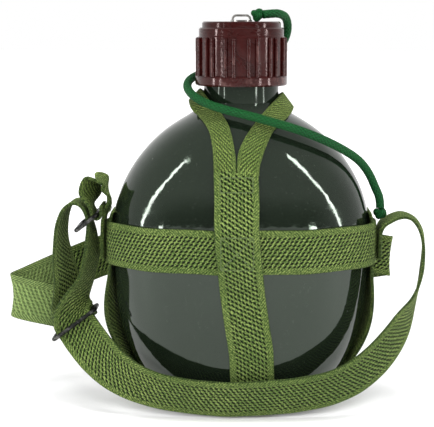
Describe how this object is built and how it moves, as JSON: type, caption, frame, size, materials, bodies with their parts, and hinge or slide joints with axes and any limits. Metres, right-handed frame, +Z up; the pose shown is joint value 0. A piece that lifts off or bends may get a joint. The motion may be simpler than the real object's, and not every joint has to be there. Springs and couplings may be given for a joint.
{
  "type": "canteen",
  "caption": "Oval enamelled metal canteen with a ribbed screw cap on a cord, in a webbing harness with a shoulder strap.",
  "frame": {"origin": "on the resting plane, under the strap that crosses the base, below the middle of the bottle", "axes": "+Z up out of the mouth; +X to the side of the cap cord; the wide front face looks along -Y"},
  "size_m": [0.2455, 0.1146, 0.231],
  "materials": {
    "green_enamel": "glossy enamel",
    "cap_plastic": "glossy moulded",
    "seal_rubber": "matt",
    "rivet_steel": "bright",
    "webbing": "woven cotton",
    "cord": "braided",
    "slide_metal": "black japanned",
    "sewing_thread": "twisted thread"
  },
  "bodies": {
    "harnessed_bottle": {"bottle": "green_enamel", "bottle_neck": "green_enamel", "belt_strap": "webbing", "cradle_strap": "webbing", "side_strap": "webbing", "neck_band_left": "webbing", "neck_band_right": "webbing", "shoulder_strap": "webbing", "anchor_loop": "webbing", "upper_slide": "slide_metal", "lower_slide": "slide_metal", "cord_belt_knot": "cord", "belt_stitches_front": "sewing_thread", "belt_stitches_back": "sewing_thread", "belt_stitches_left": "sewing_thread", "belt_stitches_right": "sewing_thread", "apex_stitches_front": "sewing_thread", "apex_stitches_back": "sewing_thread", "base_stitches": "sewing_thread", "anchor_stitches": "sewing_thread"},
    "cap_swivel": {"swivel_rivet": "rivet_steel", "rivet_washer": "rivet_steel", "cord_cap_knot": "cord", "cap_cord": "cord"},
    "cap": {"cap_shell": "cap_plastic", "cap_gasket": "seal_rubber"}
  },
  "joints": [
    {"name": "cap_lift", "type": "slide", "parent": "harnessed_bottle", "child": "cap_swivel", "axis": [0, 0, 1], "range_m": [0, 0.03]},
    {"name": "cap_turn", "type": "hinge", "parent": "cap_swivel", "child": "cap", "pos_m": [0, 0, 0.2], "axis": [0, 0, 1], "range_deg": [0, 1800]}
  ],
  "couplings": [
    {"joint": "cap_lift", "follows": "cap_turn", "m_per_rad": 0.00095492}
  ]
}
